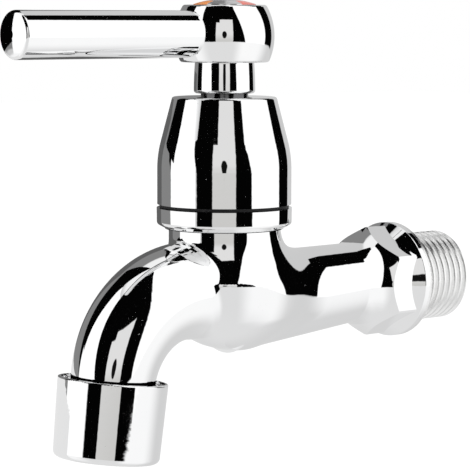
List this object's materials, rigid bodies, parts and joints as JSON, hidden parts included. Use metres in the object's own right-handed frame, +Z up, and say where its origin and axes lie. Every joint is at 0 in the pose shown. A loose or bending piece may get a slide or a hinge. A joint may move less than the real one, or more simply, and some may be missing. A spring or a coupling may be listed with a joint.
{
  "type": "washing machine tap",
  "caption": "Wall-mounted quarter-turn lever bib tap with a swept spout, screwed outlet collar, hexagon, flange and male inlet thread.",
  "frame": {"origin": "centre of the flange face that meets the wall, on the inlet axis", "axes": "+Z up along the valve stem, +Y into the wall along the inlet, the spout and the closed lever point to -Y, +X is to the right seen from the front"},
  "size_m": [0.0314, 0.1251, 0.0999],
  "materials": {
    "chrome": "polished",
    "brass": "machined",
    "steel": "satin",
    "black_rubber": "matt",
    "ceramic": "lapped",
    "white_plastic": "moulded",
    "index_red": "gloss",
    "index_grey": "satin"
  },
  "bodies": {
    "root": {"tap_body": "chrome", "shroud": "chrome", "shroud_seal_ring": "black_rubber", "cartridge_housing": "brass", "housing_o_ring": "black_rubber", "fixed_disc": "ceramic", "seat_seal": "black_rubber"},
    "handle": {"handle_hub": "chrome", "lever_rod": "chrome", "lever_stud": "steel", "handle_screw": "steel", "spline_bush": "white_plastic", "index_ring": "index_red", "index_cap": "index_grey", "spindle": "brass", "spindle_o_rings": "black_rubber", "spindle_circlip": "steel", "friction_washer": "white_plastic", "moving_disc": "ceramic"},
    "insert": {"collar_washer": "black_rubber", "outlet_screens": "steel", "flow_straightener": "white_plastic"},
    "collar": {"outlet_collar": "chrome"}
  },
  "joints": [
    {"name": "handle_turn", "type": "hinge", "parent": "root", "child": "handle", "pos_m": [0, -0.0525, 0], "axis": [0, 0, 1], "range_deg": [0, 90]},
    {"name": "collar_travel", "type": "slide", "parent": "root", "child": "insert", "axis": [0, -0.1174, -0.9931], "range_m": [0, 0.007]},
    {"name": "collar_turn", "type": "hinge", "parent": "insert", "child": "collar", "pos_m": [0, -0.08366, -0.01565], "axis": [0, -0.1174, -0.9931], "range_deg": [0, 2520]}
  ],
  "couplings": [
    {"joint": "collar_turn", "follows": "collar_travel", "rad_per_m": 6283.2}
  ]
}
